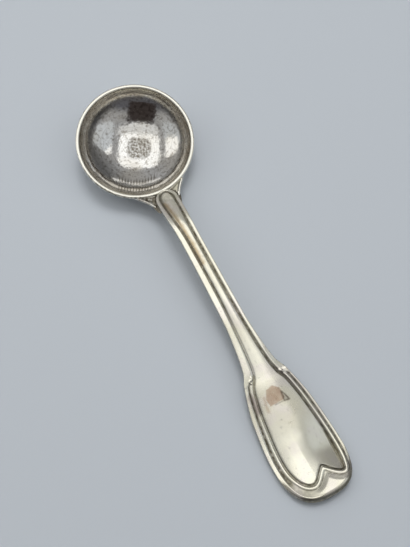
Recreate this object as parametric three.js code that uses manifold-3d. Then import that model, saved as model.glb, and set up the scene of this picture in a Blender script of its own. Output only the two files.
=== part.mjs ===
// Small ladle: a raised round bowl, hard-soldered to a struck fiddle and thread handle.
// Millimetres, +Z up, +X from the bowl to the handle's end.
// The origin is the middle of the worn flat that the bowl rests on.

import * as THREE from 'three';
import { mergeVertices } from 'three/addons/utils/BufferGeometryUtils.js';
import Module from 'manifold-3d';

// Bowl
const bowlDiameter = 26;
const bowlDepth = 7.5;
const bowlFullness = 2;
const bowlWall = 0.6;
const lipWidth = 0.8;
const lipHeight = 0.7;
const bowlTilt = THREE.MathUtils.degToRad(10.5);
const bowlWear = 0.09;

// Lug on the bowl's rim, which carries the handle
const flareAngle = THREE.MathUtils.degToRad(33);
const flareReach = 3.4;
const flareLength = 4.2;
const lugEdge = 0.55;
const heelDepth = 1.5;
const heelWidth = 2.6;
const heelFalloff = 1.3;
const tongueRoundness = 0.7;

// Solder
const seamThickness = 0.2;
const seamInset = 0.25;
const seamCorner = 1;
const filletSetback = 0.15;
const filletLength = 3.6;
const filletWidth = 1.2;
const filletHeight = 0.75;
const filletEdge = 0.15;
const filletGap = 0.15;

// Handle, along its length
const handleLength = 73.3;
const noseLap = 0.1;
const noseRound = 2.6;
const lapLength = 6.3;
const ribSetback = 0.55;
const neckFromLap = 4.5;
const waistFromNose = 14;
const slimBeforeMiddle = 2;
const swellAfterMiddle = 3.5;
const shoulderFromEnd = 28.45;
const flareStart = 7.7;
const crestBeforeShoulder = 4;
const threadSwell = 3;
const flareEnd = 1.3;
const shoulderCorner = 1.2;
const threadSplit = 1.5;
const shoulderFoot = 2.5;
const restFromShoulder = 9;
const flatFromShoulder = 12;
const endLift = 11;
const endRound = 9.85;
const endFullness = 2.8;

// Handle, across
const noseHalfWidth = 2.4;
const stemHalfWidth = 2.1;
const swellHalfWidth = 2.42;
const flareStartHalfWidth = 2.83;
const flareHalfWidth = 3.98;
const shoulderHalfWidth = 5;
const fiddleHalfWidth = 7.6;
const fiddleBulge = 0.5;
const noseRibHalfWidth = 1.65;
const waistRibHalfWidth = 0.99;
const stemRibHalfWidth = 0.9;
const flareStartRibHalfWidth = 1.3;
const flareRibHalfWidth = 2;
const shoulderGap = 1.8;
const middleGap = 1.97;
const panelGap = 2.12;

// Handle, heights and thicknesses
const noseThickness = 0.55;
const noseSlope = 3.5;
const lapThickness = 1.3;
const neckRise = 2.6;
const stemFall = 1.25;
const stemThickness = 2.1;
const shoulderRise = 2.9;
const shoulderThickness = 1.8;
const footRise = 1.2;
const fiddleThickness = 1.6;
const endLiftThickness = 1.76;
const endThickness = 2.9;
const endRoll = 0.5;
const threadHeight = 0.32;
const innerThreadHeight = 0.26;
const stepDepth = 0.12;
const grooveDepth = 0.06;
const bossHeight = 0.29;
const ribHeight = 0.5;
const panelCrown = 0.42;
const sideRounding = 0.75;
const lapRoundingShare = 0.12;

// Widths of the struck border
const noseThread = 0.45;
const waistThread = 0.95;
const stemThread = 1.05;
const flareThread = 1.58;
const fiddleThread = 0.78;
const endThreadLoss = 0.35;
const bossGap = 0.15;
const innerBorder = 1.2;

// Heart-shaped end of the panel
const panelShift = 0.35;
const heartShift = 1.35;
const lobeSpacing = 7;
const lobeDepth = 5.8;
const cuspDepth = 2.7;
const heartFromEnd = 9.5;

// Worked out from these
const bowlRadius = bowlDiameter / 2;
const rest = lowestPoint();
const rimX = -rest.x;
const rimZ = -rest.z - bowlWear;
const lipX = rimX + bowlRadius * Math.cos(bowlTilt);
const lapZ = rimZ - bowlRadius * Math.sin(bowlTilt);
const noseX = lipX - noseLap;
const endX = noseX + handleLength;
const noseBottom = lapZ + seamThickness;
const lapEndX = noseX + lapLength;
const shoulderX = endX - shoulderFromEnd;
const widestX = endX - endRound;
const heartX = endX - heartFromEnd;
const noseCornerX = noseX + noseRound;
const neckX = lapEndX + neckFromLap;
const waistX = noseX + waistFromNose;
const stemMiddleX = (waistX + shoulderX) / 2;
const slimX = stemMiddleX - slimBeforeMiddle;
const flareStartX = shoulderX - flareStart;
const flareEndX = shoulderX - flareEnd;
const crestX = shoulderX - crestBeforeShoulder;
const splitX = shoulderX + threadSplit;
const footX = shoulderX + shoulderFoot;
const fiddleMiddleX = (shoulderX + widestX) / 2;
const fiddleMiddleHalf = (shoulderHalfWidth + fiddleHalfWidth) / 2 + fiddleBulge;

// Mesh counts
const bowlSides = 64;
const wallSteps = 13;
const lipSteps = 4;
const flareSteps = 8;
const tongueSteps = 5;
const lugColumns = 11;
const edgeSteps = 4;
const acrossSteps = 4 * edgeSteps;
const lapRows = 4;
const stemRows = 9;
const shoulderRows = 9;
const fiddleRows = 8;
const filletRows = 9;
const filletColumns = 5;

// One point of the bowl's rounded section, from the rim at turn 0 to the middle at turn 1
function sectionPoint(radius, depth, turn) {
  const angle = turn * Math.PI / 2;
  const power = 2 / bowlFullness;
  return new THREE.Vector2(
    radius * Math.max(Math.cos(angle), 0) ** power,
    -depth * Math.sin(angle) ** power,
  );
}

// Where the tilted bowl touches the table, measured from the middle of its rim
function lowestPoint() {
  let lowest = { x: 0, z: 0 };
  for (let step = 0; step <= 2000; step += 1) {
    const point = sectionPoint(bowlRadius, bowlDepth, step / 2000);
    const x = point.x * Math.cos(bowlTilt) + point.y * Math.sin(bowlTilt);
    const z = -point.x * Math.sin(bowlTilt) + point.y * Math.cos(bowlTilt);
    if (z < lowest.z) {
      lowest = { x, z };
    }
  }
  return lowest;
}

// A smooth curve through [place, value] pairs that makes no bumps between them
function smoothCurve(pairs) {
  const count = pairs.length;
  const slopes = [];
  for (let i = 0; i < count - 1; i += 1) {
    slopes.push((pairs[i + 1][1] - pairs[i][1]) / (pairs[i + 1][0] - pairs[i][0]));
  }
  const tangents = pairs.map((pair, i) => {
    if (i === 0 || i === count - 1) {
      return 0;
    }
    const [before, after] = [slopes[i - 1], slopes[i]];
    return before * after <= 0 ? 0 : 2 * before * after / (before + after);
  });
  return (place) => {
    if (place <= pairs[0][0]) {
      return pairs[0][1];
    }
    if (place >= pairs[count - 1][0]) {
      return pairs[count - 1][1];
    }
    let i = 0;
    while (place > pairs[i + 1][0]) {
      i += 1;
    }
    const span = pairs[i + 1][0] - pairs[i][0];
    const t = (place - pairs[i][0]) / span;
    const rise = 3 * t * t - 2 * t * t * t;
    const start = t * (1 - t) * (1 - t) * span * tangents[i];
    const finish = t * t * (t - 1) * span * tangents[i + 1];
    return pairs[i][1] * (1 - rise) + pairs[i + 1][1] * rise + start + finish;
  };
}

// Half-widths of the outline, of the rib that widens into the panel, and of the outer thread

const outlineHalfWidth = smoothCurve([
  [noseCornerX, noseHalfWidth],
  [waistX, stemHalfWidth],
  [stemMiddleX + swellAfterMiddle, swellHalfWidth],
  [flareStartX, flareStartHalfWidth],
  [flareEndX, flareHalfWidth],
  [shoulderX + shoulderCorner, shoulderHalfWidth],
  [fiddleMiddleX, fiddleMiddleHalf],
  [widestX, fiddleHalfWidth],
]);

const ribHalfWidth = smoothCurve([
  [noseCornerX, noseRibHalfWidth],
  [waistX, waistRibHalfWidth],
  [slimX, stemRibHalfWidth],
  [flareStartX, flareStartRibHalfWidth],
  [flareEndX, flareRibHalfWidth],
  [footX, shoulderHalfWidth - shoulderGap],
  [fiddleMiddleX, fiddleMiddleHalf - middleGap],
  [widestX, fiddleHalfWidth - panelGap],
]);

const threadWidth = smoothCurve([
  [noseX, noseThread],
  [waistX, waistThread],
  [stemMiddleX, stemThread],
  [shoulderX - threadSwell, flareThread],
  [splitX, fiddleThread],
]);

// The panel drifts to one side toward the handle's end
const panelMiddle = smoothCurve([[shoulderX, 0], [heartX, panelShift]]);

// Height of the struck face's grooves, along the handle
const faceHeight = smoothCurve([
  [noseX, noseBottom + noseThickness],
  [noseX + noseSlope, noseBottom + lapThickness],
  [neckX, lapZ + neckRise],
  [slimX, lapZ + neckRise - stemFall],
  [crestX, fiddleThickness + shoulderRise],
  [footX, fiddleThickness + footRise],
  [shoulderX + flatFromShoulder, fiddleThickness],
  [endX - endLift, endLiftThickness],
  [endX, endThickness],
]);

// Height of the underside, which is flat at the lap and where the fiddle rests
const backHeight = smoothCurve([
  [lapEndX, noseBottom],
  [neckX, lapZ + neckRise - stemThickness],
  [slimX, lapZ + neckRise - stemFall - stemThickness],
  [crestX, fiddleThickness + shoulderRise - shoulderThickness],
  [footX, footRise],
  [shoulderX + restFromShoulder, 0],
]);

// How far the inner thread, the rounded back edges and the rolled end have come in, 0 to 1
const innerThreadShare = smoothCurve([[shoulderX - threadSplit / 3, 0], [splitX, 1]]);
const sideShare = smoothCurve([[lapEndX - seamCorner, lapRoundingShare], [neckX, 1]]);
const endShare = smoothCurve([[heartX + lobeDepth / 2, 0], [endX - 3 * endRoll, 1]]);

// Solids from meshes

function closedGeometry(positions, triangles) {
  const geometry = new THREE.BufferGeometry();
  geometry.setAttribute('position', new THREE.Float32BufferAttribute(positions.flat(), 3));
  geometry.setIndex(triangles.flat());
  const merged = mergeVertices(geometry, 1e-4);
  const index = merged.getIndex().array;
  const kept = [];
  for (let i = 0; i < index.length; i += 3) {
    const [a, b, c] = [index[i], index[i + 1], index[i + 2]];
    if (a !== b && b !== c && c !== a) {
      kept.push(a, b, c);
    }
  }
  merged.setIndex(kept);
  return merged;
}

function bareGeometry(geometry) {
  geometry.deleteAttribute('normal');
  geometry.deleteAttribute('uv');
  const place = geometry.getAttribute('position');
  const positions = [];
  for (let i = 0; i < place.count; i += 1) {
    positions.push([place.getX(i), place.getY(i), place.getZ(i)]);
  }
  return closedGeometry(positions, [Array.from(geometry.getIndex().array)]);
}

function gridTriangles(rows, columns, first, faceUp) {
  const triangles = [];
  for (let i = 0; i < rows - 1; i += 1) {
    for (let k = 0; k < columns - 1; k += 1) {
      const a = first + i * columns + k;
      const b = a + columns;
      const corners = faceUp ? [a, b, b + 1, a + 1] : [a, a + 1, b + 1, b];
      triangles.push([corners[0], corners[1], corners[2]], [corners[0], corners[2], corners[3]]);
    }
  }
  return triangles;
}

// The border of a grid, once round, counter-clockwise seen from above
function gridBorder(rows, columns) {
  const border = [];
  for (let i = 0; i < rows - 1; i += 1) {
    border.push(i * columns);
  }
  for (let k = 0; k < columns - 1; k += 1) {
    border.push((rows - 1) * columns + k);
  }
  for (let i = rows - 1; i > 0; i -= 1) {
    border.push(i * columns + columns - 1);
  }
  for (let k = columns - 1; k > 0; k -= 1) {
    border.push(k);
  }
  return border;
}

// A closed solid: a grid on top, rings that pass down round its border, and a grid below
function ringedSolid(rows, columns, top, rings, bottom) {
  const border = gridBorder(rows, columns);
  const positions = [...top, ...bottom];
  const triangles = [
    ...gridTriangles(rows, columns, 0, true),
    ...gridTriangles(rows, columns, top.length, false),
  ];
  const loops = [border, ...rings.map((ring) => {
    const start = positions.length;
    positions.push(...ring);
    return ring.map((point, m) => start + m);
  }), border.map((index) => index + top.length)];
  for (let r = 0; r < loops.length - 1; r += 1) {
    for (let m = 0; m < border.length; m += 1) {
      const next = (m + 1) % border.length;
      const [a, b] = [loops[r], loops[r + 1]];
      triangles.push([a[m], b[m], b[next]], [a[m], b[next], a[next]]);
    }
  }
  return closedGeometry(positions, triangles);
}

const wasm = await Module();
wasm.setup();

function toManifold(geometry) {
  const mesh = new wasm.Mesh({
    numProp: 3,
    vertProperties: new Float32Array(geometry.getAttribute('position').array),
    triVerts: new Uint32Array(geometry.getIndex().array),
  });
  mesh.merge();
  return new wasm.Manifold(mesh);
}

function fromManifold(solid) {
  const mesh = solid.getMesh();
  const geometry = new THREE.BufferGeometry();
  geometry.setAttribute('position', new THREE.BufferAttribute(new Float32Array(mesh.vertProperties), 3));
  geometry.setIndex(Array.from(mesh.triVerts));
  return geometry;
}

// Bowl

function outerSection(radius, depth) {
  const points = [];
  for (let step = wallSteps; step >= 0; step -= 1) {
    points.push(sectionPoint(radius, depth, step / wallSteps));
  }
  points[0].x = 0;
  return points;
}

function bowlSection() {
  const outer = outerSection(bowlRadius, bowlDepth);
  outer.pop();
  const lipMiddle = bowlRadius - lipWidth / 2;
  const lip = [];
  for (let step = 0; step <= lipSteps; step += 1) {
    const angle = Math.PI * step / lipSteps;
    lip.push(new THREE.Vector2(
      lipMiddle + lipWidth / 2 * Math.cos(angle),
      lipHeight / 2 * (Math.sin(angle) - 1),
    ));
  }
  const inner = outerSection(bowlRadius - bowlWall, bowlDepth - bowlWall).reverse();
  const below = inner.filter((point) => point.y < -lipHeight);
  return [...outer.filter((point) => point.y < -lipHeight / 2), ...lip, ...below];
}

function latheInPlace(points) {
  const geometry = new THREE.LatheGeometry(points, bowlSides);
  geometry.rotateX(Math.PI / 2);
  geometry.rotateY(bowlTilt);
  geometry.translate(rimX, 0, rimZ);
  return bareGeometry(geometry);
}

// Half-width of the lug: it leaves the rim along the rim's own direction and narrows to the stem
function lugCurve() {
  const start = new THREE.Vector2(
    rimX + bowlRadius * Math.cos(flareAngle),
    bowlRadius * Math.sin(flareAngle),
  );
  const control = new THREE.Vector2(
    start.x + flareReach * Math.sin(flareAngle),
    start.y - flareReach * Math.cos(flareAngle),
  );
  const finish = new THREE.Vector2(lipX + flareLength, stemHalfWidth);
  return new THREE.QuadraticBezierCurve(start, control, finish);
}

function lugRows() {
  const curve = lugCurve();
  const wallMiddle = bowlRadius - bowlWall / 2;
  const rows = [[rimX + wallMiddle * Math.cos(flareAngle), wallMiddle * Math.sin(flareAngle)]];
  for (let step = 1; step <= flareSteps; step += 1) {
    const point = curve.getPoint(step / flareSteps);
    rows.push([point.x, point.y]);
  }
  const tongueEnd = lapEndX - seamInset;
  const tongueStart = rows[rows.length - 1][0];
  for (let step = 1; step < tongueSteps; step += 1) {
    const turn = Math.PI / 2 * step / tongueSteps;
    rows.push([
      tongueStart + (tongueEnd - tongueStart) * Math.sin(turn),
      stemHalfWidth * Math.cos(turn) ** tongueRoundness,
    ]);
  }
  return rows;
}

function lugGeometry() {
  const rows = lugRows();
  const top = [];
  const bottom = [];
  const tongueEnd = rows[rows.length - 1][0];
  for (const [x, halfWidth] of rows) {
    const left = THREE.MathUtils.clamp((tongueEnd - x) / (tongueEnd - rimX - bowlRadius), 0, 1);
    for (let k = 0; k < lugColumns; k += 1) {
      const y = halfWidth * Math.sin(Math.PI / 2 * (2 * k / (lugColumns - 1) - 1));
      const heel = heelDepth * left ** heelFalloff * Math.exp(-((y / heelWidth) ** 2));
      top.push([x, y, lapZ]);
      bottom.push([x, y, lapZ - lugEdge - heel]);
    }
  }
  return ringedSolid(rows.length, lugColumns, top, [], bottom);
}

function bowlGeometry() {
  const cup = toManifold(latheInPlace(bowlSection()));
  const hollow = outerSection(bowlRadius - bowlWall / 2, bowlDepth - bowlWall / 2);
  const hollowTop = new THREE.Vector2(bowlRadius - bowlWall / 2, bowlDepth);
  const hollowSection = [...hollow, hollowTop, new THREE.Vector2(0, bowlDepth)];
  const lug = toManifold(lugGeometry()).subtract(toManifold(latheInPlace(hollowSection)));
  const floor = new THREE.BoxGeometry(2 * bowlDiameter, 2 * bowlDiameter, bowlDiameter);
  floor.translate(0, 0, -bowlDiameter / 2);
  return fromManifold(cup.add(lug).subtract(toManifold(bareGeometry(floor))));
}

// Handle

// The end of the panel: two round lobes with a cusp between them that points at the bowl
function heartEdge() {
  const panelHalf = ribHalfWidth(heartX);
  const lobeX = heartX + lobeDepth;
  const cusp = new THREE.Vector2(lobeX - cuspDepth, heartShift);
  const points = [];
  for (const side of [-1, 1]) {
    const corner = new THREE.Vector2(heartX, panelShift + side * panelHalf);
    const lobe = new THREE.Vector2(lobeX, heartShift + side * lobeSpacing / 2);
    const outer = new THREE.CubicBezierCurve(
      corner,
      new THREE.Vector2(heartX + 0.55 * lobeDepth, corner.y),
      new THREE.Vector2(lobeX, 0.45 * lobe.y + 0.55 * corner.y),
      lobe,
    );
    const inner = new THREE.CubicBezierCurve(
      lobe,
      new THREE.Vector2(lobeX, lobe.y - side * 0.15 * lobeSpacing),
      new THREE.Vector2(cusp.x + 0.35 * cuspDepth, cusp.y + side * 0.18 * lobeSpacing),
      cusp,
    );
    const half = [...outer.getPoints(edgeSteps), ...inner.getPoints(edgeSteps).slice(1)];
    points.push(...(side < 0 ? half : half.reverse().slice(1)));
  }
  return points;
}

function endHalfWidth(x) {
  const share = THREE.MathUtils.clamp((x - widestX) / endRound, 0, 1);
  return outlineHalfWidth(x) * (1 - share ** endFullness) ** (1 / endFullness);
}

// The round end of the outline, each point straight out from one of the panel's edge
function endEdge() {
  const middle = new THREE.Vector2(heartX, panelShift);
  return heartEdge().map((point) => {
    const away = point.clone().sub(middle).normalize();
    let inside = 0;
    let outside = 2 * handleLength;
    while (outside - inside > 1e-6) {
      const distance = (inside + outside) / 2;
      const place = middle.clone().addScaledVector(away, distance);
      if (place.x < endX && Math.abs(place.y) < endHalfWidth(place.x)) {
        inside = distance;
      } else {
        outside = distance;
      }
    }
    return middle.clone().addScaledVector(away, inside);
  });
}

function noseEdge(halfWidth, startX) {
  const points = [];
  for (let k = 0; k <= acrossSteps; k += 1) {
    const angle = Math.PI / 2 * (2 * k / acrossSteps - 1);
    points.push(new THREE.Vector2(
      noseCornerX - (noseCornerX - startX) * Math.cos(angle),
      halfWidth * Math.sin(angle),
    ));
  }
  return points;
}

// Places of the cross rows, closer together where the outline turns
function rowPlaces() {
  const stretches = [
    [noseCornerX, lapEndX, lapRows],
    [lapEndX, flareStartX, stemRows],
    [flareStartX, footX, shoulderRows],
    [footX, heartX, fiddleRows],
  ];
  const places = [noseCornerX];
  for (const [from, to, count] of stretches) {
    for (let step = 1; step <= count; step += 1) {
      places.push(from + (to - from) * step / count);
    }
  }
  return places;
}

// Plan of the rib and panel: rows that start as the nose's arc and end as the heart's edge
function panelGrid() {
  const places = rowPlaces();
  const nose = noseEdge(noseRibHalfWidth, noseX + ribSetback);
  const heart = heartEdge();
  const last = places.length - 1;
  return places.map((x, i) => {
    const halfWidth = ribHalfWidth(x);
    const noseFade = Math.max(0, 1 - i / 3) ** 2;
    const heartFade = THREE.MathUtils.smoothstep(i, last - 6, last);
    return nose.map((point, k) => {
      const noseShare = point.y / noseRibHalfWidth;
      const heartShare = (heart[k].y - panelShift) / ribHalfWidth(heartX);
      const share = THREE.MathUtils.lerp(noseShare, heartShare, heartFade);
      const bend = (point.x - noseCornerX) * noseFade + (heart[k].x - heartX) * heartFade;
      return new THREE.Vector2(x + bend, panelMiddle(x) + halfWidth * share);
    });
  });
}

function outlineRing() {
  const places = rowPlaces();
  const rightWay = places.slice(0, -1).map((x) => new THREE.Vector2(x, -endHalfWidth(x)));
  const end = endEdge();
  const back = places.slice(1).reverse().map((x) => new THREE.Vector2(x, endHalfWidth(x)));
  const nose = noseEdge(noseHalfWidth, noseX).reverse();
  return [...rightWay, ...end.slice(0, -1), ...back, ...nose.slice(0, -1)];
}

// Outward directions of a ring, longer at sharp corners so that a border keeps its width
function ringNormals(ring) {
  const count = ring.length;
  return ring.map((point, m) => {
    const before = point.clone().sub(ring[(m + count - 1) % count]).normalize();
    const after = ring[(m + 1) % count].clone().sub(point).normalize();
    const along = before.clone().add(after).normalize();
    const stretch = Math.min(1 / Math.max(along.dot(after), 0.5), 1.5);
    return new THREE.Vector2(along.y, -along.x).multiplyScalar(stretch);
  });
}

// The struck border, from the panel's edge to the outline, as rings of points
function borderRings(panelRing, outline) {
  const panelNormals = ringNormals(panelRing);
  const outlineNormals = ringNormals(outline);
  const sections = panelRing.map((inner, m) => {
    const outer = outline[m];
    const gap = inner.distanceTo(outer);
    const end = endShare(outer.x);
    const thread = Math.min(threadWidth(outer.x), 0.7 * gap) * (1 - endThreadLoss * end);
    const room = gap - thread - endRoll * end - bossGap;
    const border = THREE.MathUtils.clamp(room, 0.08 * innerBorder, innerBorder);
    const share = innerThreadShare(inner.x);
    const fromPanel = (distance) => inner.clone().addScaledVector(panelNormals[m], distance * border);
    const fromOutline = (distance) => (
      outer.clone().addScaledVector(outlineNormals[m], -distance * thread - endRoll * end)
    );
    const groove = fromPanel(1);
    const foot = fromOutline(1);
    const boss = bossHeight * end;
    return [
      [fromPanel(0.16), -stepDepth * share],
      [fromPanel(0.34), 0.4 * innerThreadHeight * share],
      [fromPanel(0.6), innerThreadHeight * share],
      [fromPanel(0.86), 0.4 * innerThreadHeight * share],
      [groove, -grooveDepth * share],
      [groove.clone().lerp(foot, 0.4), 0.5 * boss],
      [foot, boss],
      [fromOutline(0.55), THREE.MathUtils.lerp(threadHeight, boss, end)],
      [fromOutline(0.12), 0.55 * threadHeight * (1 - end)],
    ];
  });
  return sections[0].map((unused, r) => sections.map((section) => {
    const [point, rise] = section[r];
    return [point.x, point.y, faceHeight(point.x) + rise];
  }));
}

// The side and the rounded back edge, as rings of points: inset, height and roll, as shares
function sideRings(outline) {
  const normals = ringNormals(outline);
  const levels = [
    [0, 0.97, 0.6],
    [0, 0.6, 0],
    [0.3, 0.18, 0],
    [1, 0, 0.3],
  ];
  return levels.map(([inset, level, roll]) => outline.map((point, m) => {
    const rounding = sideRounding * sideShare(point.x) * inset + endRoll * endShare(point.x) * roll;
    const place = point.clone().addScaledVector(normals[m], -rounding);
    const back = backHeight(point.x);
    return [place.x, place.y, back + level * (faceHeight(point.x) - back)];
  }));
}

function handleGeometry() {
  const grid = panelGrid();
  const [rows, columns] = [grid.length, grid[0].length];
  const points = grid.flat();
  const panelRing = gridBorder(rows, columns).map((index) => points[index]);
  const outline = outlineRing();
  const top = points.map((point, index) => {
    const across = 2 * (index % columns) / (columns - 1) - 1;
    const crown = THREE.MathUtils.lerp(ribHeight, panelCrown, innerThreadShare(point.x));
    const row = Math.floor(index / columns);
    const along = Math.min(1, row / 2, (rows - 1 - row) / 3);
    return [point.x, point.y, faceHeight(point.x) + crown * (1 - across ** 2) * Math.sqrt(along)];
  });
  const bottom = points.map((point) => [point.x, point.y, backHeight(point.x)]);
  const rings = [...borderRings(panelRing, outline), ...sideRings(outline)];
  return ringedSolid(rows, columns, top, rings, bottom);
}

// Solder

// The film that fills the lap under the handle's nose
function seamGeometry() {
  const tail = lapEndX - 3 * seamInset;
  const tailHalf = stemHalfWidth - 3 * seamInset;
  const shape = new THREE.Shape([
    ...noseEdge(noseHalfWidth - seamInset, noseX + noseLap + 2 * seamInset),
    new THREE.Vector2(tail - seamCorner, tailHalf),
    new THREE.Vector2(tail, 0.5 * tailHalf),
    new THREE.Vector2(tail, -0.5 * tailHalf),
    new THREE.Vector2(tail - seamCorner, -tailHalf),
  ]);
  const geometry = new THREE.ExtrudeGeometry(shape, { depth: seamThickness, bevelEnabled: false });
  geometry.translate(0, 0, lapZ);
  return geometry;
}

// A hollow-faced fillet in the corner between the lug's top and the side of the nose
function filletGeometry(side) {
  const startX = lipX + filletSetback;
  const top = [];
  const bottom = [];
  for (let i = 0; i < filletRows; i += 1) {
    const along = i / (filletRows - 1);
    const x = startX + filletLength * along;
    const wall = outlineHalfWidth(x) + filletGapAt(x);
    const width = filletWidth * (1 - along) ** 0.8 + filletEdge;
    for (let k = 0; k < filletColumns; k += 1) {
      const out = side > 0 ? k / (filletColumns - 1) : 1 - k / (filletColumns - 1);
      const y = side * (wall + width * out);
      const height = filletEdge + (filletHeight - filletEdge) * (1 - out) ** 2 * (1 - 0.4 * along);
      top.push([x, y, lapZ + height]);
      bottom.push([x, y, lapZ]);
    }
  }
  return ringedSolid(filletRows, filletColumns, top, [], bottom);
}

// The nose is round, so the fillet stands off its own straight side a little
function filletGapAt(x) {
  const share = THREE.MathUtils.clamp((noseCornerX - x) / (noseCornerX - noseX), 0, 1);
  return filletGap - noseHalfWidth * (1 - Math.sqrt(1 - share ** 2));
}

// Materials and assembly

function silver(color, roughness) {
  return new THREE.MeshStandardMaterial({ color, roughness, metalness: 1 });
}

function namedMesh(name, geometry, material) {
  geometry.computeVertexNormals();
  const mesh = new THREE.Mesh(geometry, material);
  mesh.name = name;
  return mesh;
}

const ladle = new THREE.Group();
ladle.add(namedMesh('bowl', bowlGeometry(), silver(0xd2cdc2, 0.16)));
ladle.add(namedMesh('handle', handleGeometry(), silver(0xcbc5ad, 0.28)));
ladle.add(namedMesh('solder_seam', seamGeometry(), silver(0x9c978c, 0.45)));
ladle.add(namedMesh('solder_fillet_left', filletGeometry(-1), silver(0x8d887c, 0.55)));
ladle.add(namedMesh('solder_fillet_right', filletGeometry(1), silver(0x8d887c, 0.55)));

export default ladle;
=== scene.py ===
import math

import bpy
import numpy as np
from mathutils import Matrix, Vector, noise


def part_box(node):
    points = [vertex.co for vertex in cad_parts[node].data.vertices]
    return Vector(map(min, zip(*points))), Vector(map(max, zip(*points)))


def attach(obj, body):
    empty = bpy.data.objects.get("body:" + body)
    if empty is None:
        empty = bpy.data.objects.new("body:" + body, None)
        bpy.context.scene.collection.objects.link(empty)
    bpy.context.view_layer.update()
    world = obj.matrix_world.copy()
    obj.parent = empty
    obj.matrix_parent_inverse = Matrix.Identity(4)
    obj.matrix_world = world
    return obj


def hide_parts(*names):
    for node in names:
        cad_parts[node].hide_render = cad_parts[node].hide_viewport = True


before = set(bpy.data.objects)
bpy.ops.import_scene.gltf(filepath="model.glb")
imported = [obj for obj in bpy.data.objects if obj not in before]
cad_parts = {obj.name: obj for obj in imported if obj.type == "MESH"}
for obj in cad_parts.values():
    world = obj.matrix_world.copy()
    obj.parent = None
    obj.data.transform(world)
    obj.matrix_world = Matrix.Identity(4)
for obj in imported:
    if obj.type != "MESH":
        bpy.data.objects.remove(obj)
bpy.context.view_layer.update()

MM = 0.001


def box_mm(node):
    low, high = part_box(node)
    return np.array(low) / MM, np.array(high) / MM


handle_low, handle_high = box_mm("handle")
seam_low, seam_high = box_mm("solder_seam")

# Bowl
BOWL_RADIUS = box_mm("bowl")[1][1]
BOWL_DEPTH = 7.5
BOWL_WALL = 0.6
BOWL_TILT = math.radians(10.5)
BOWL_WEAR = 0.09
LIP_WIDTH = 0.8
LIP_HEIGHT = 0.7
LIP_FLATNESS = 0.55

# Lug, the flared web of the bowl under the handle's nose
LAP_Z = seam_low[2]
LUG_TOP = LAP_Z - 0.04
FLARE_ANGLE = math.radians(33)
FLARE_REACH = 3.4
FLARE_LENGTH = 4.2
LUG_EDGE = 0.55
LUG_RIDGE = 0.16
LUG_RIDGE_WIDTH = 0.55
LUG_ROOT_TURN = 0.13
HEEL_DEPTH = 1.5
HEEL_WIDTH = 2.6

# Handle, along its length
NOSE_BOTTOM = seam_high[2]
NOSE_X = handle_low[0]
END_X = handle_high[0]
NOSE_CORNER_X = NOSE_X + 2.6
RIB_SETBACK = 0.55
LAP_END_X = NOSE_X + 6.3
NECK_X = LAP_END_X + 4.5
WAIST_X = NOSE_X + 14
SHOULDER_X = END_X - 28.45
STEM_MIDDLE_X = (WAIST_X + SHOULDER_X) / 2
SLIM_X = STEM_MIDDLE_X - 2
SWELL_X = STEM_MIDDLE_X + 3.5
FLARE_START_X = SHOULDER_X - 7.7
CREST_X = SHOULDER_X - 4
FLARE_END_X = SHOULDER_X - 1.3
CORNER_X = SHOULDER_X + 1.2
FOOT_X = SHOULDER_X + 2.5
END_ROUND = 9.85
END_FULLNESS = 2.8
WIDEST_X = END_X - END_ROUND
FIDDLE_MIDDLE_X = (SHOULDER_X + WIDEST_X) / 2
HEART_X = END_X - 9.5

# Handle, across
NOSE_HALF = 2.4
NOSE_RIB_HALF = 1.4
STEM_HALF = 2.1
SHOULDER_HALF = 5
FIDDLE_HALF = handle_high[1]
FIDDLE_MIDDLE_HALF = (SHOULDER_HALF + FIDDLE_HALF) / 2 + 0.5
PANEL_GAP = 2.12

# Handle, heights
FIDDLE_THICKNESS = 1.6
END_THICKNESS = 2.9
END_ROLL = 1.25
END_DROP = 0.8
SIDE_ROUNDING = 0.75

# Handle, struck pattern
THREAD_HEIGHT = 0.24
THREAD_LEAST = 0.3
THREAD_MOST = 1.0
SPLIT_LEFT_X = SHOULDER_X + 0.1
SPLIT_RIGHT_X = SHOULDER_X + 1.3
GROOVE_WIDTH = 0.26
SPLIT_WIDTH = 1.27
INNER_THREAD_START = 0.24
INNER_THREAD_WIDTH = 0.7
INNER_THREAD_END = INNER_THREAD_START + INNER_THREAD_WIDTH
INNER_THREAD_HEIGHT = 0.13
STEP_DEPTH = 0.16
RIB_HEIGHT = 0.2
RIB_LEAN = 1.15
PANEL_EDGE_HEIGHT = 0.14
PANEL_TWIST = 0.16
TWIST_START = 0.38
BOSS_HEIGHT = 0.3
SHOULDER_BEVEL = 0.16
SPLIT_BEAD = (55.9, -3.1)
SPLIT_BEAD_RADIUS = 0.3
SPLIT_BEAD_WIDTH = 0.14
SPLIT_BEAD_HEIGHT = 0.1

# Heart at the end of the panel
PANEL_SHIFT = 0.35
HEART_SHIFT = 1.35
LOBE_SPACING = 7
LOBE_DEPTH = 5.8
CUSP_DEPTH = 2.7

# Solder runs
FILLET_HEIGHT = 0.7
FILLET_FOOT_HEIGHT = 0.1
FILLET_WIDTH = 1.25
FILLET_LEAST_WIDTH = 0.3
FILLET_OVERLAP = 0.12
FILLET_BOTTOM = LAP_Z - 0.2

# Studio and camera
CAMERA_AZIMUTH = math.radians(62.03)
CAMERA_TARGET = (29.39, 0.31, 0)
CAMERA_ELEVATION = math.radians(70.71)
CAMERA_DISTANCE = 216.7
CAMERA_LENS = 65.8
CAMERA_NEAR = 5
CAMERA_FAR = 5000
STUDIO_HEIGHT = 320
STUDIO_RIGHT = np.array([math.cos(CAMERA_AZIMUTH), math.sin(CAMERA_AZIMUTH), 0])
STUDIO_BACK = np.array([-math.sin(CAMERA_AZIMUTH), math.cos(CAMERA_AZIMUTH), 0])


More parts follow.
